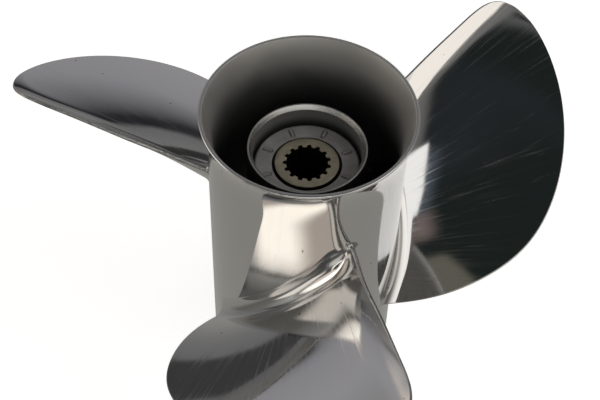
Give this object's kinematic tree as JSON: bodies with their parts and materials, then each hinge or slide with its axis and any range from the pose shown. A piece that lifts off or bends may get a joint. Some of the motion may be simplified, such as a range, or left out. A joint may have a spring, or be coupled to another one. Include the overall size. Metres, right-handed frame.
{
  "type": "boat propeller",
  "caption": "Right-hand through-hub-exhaust boat propeller with raked cupped blades, a flared barrel and a rubber-cushioned splined sleeve.",
  "frame": {"origin": "on the shaft axis, in the plane of the barrel's forward face", "axes": "+Z along the shaft axis, pointing aft; +X through the middle of blade 1's root; +Y completes a right-handed frame"},
  "size_m": [0.3541, 0.3302, 0.226],
  "materials": {
    "polished_steel": "mirror-polished stainless steel, cast",
    "cast_steel": "blasted stainless casting",
    "bush_rubber": "matt moulded rubber",
    "sleeve_brass": "dull machined brass"
  },
  "bodies": {
    "propeller": {"barrel": "polished_steel", "inner_hub": "cast_steel", "rib_1": "cast_steel", "rib_2": "cast_steel", "rib_3": "cast_steel", "blade_1": "polished_steel", "blade_2": "polished_steel", "blade_3": "polished_steel", "rubber_bush": "bush_rubber"},
    "sleeve": {"spline_sleeve": "sleeve_brass"}
  },
  "joints": [
    {"name": "sleeve_windup", "type": "hinge", "parent": "propeller", "child": "sleeve", "pos_m": [0, 0, 0.1145], "axis": [0, 0, 1], "range_deg": [-9, 9], "stiffness_Nm_per_rad": 40}
  ]
}
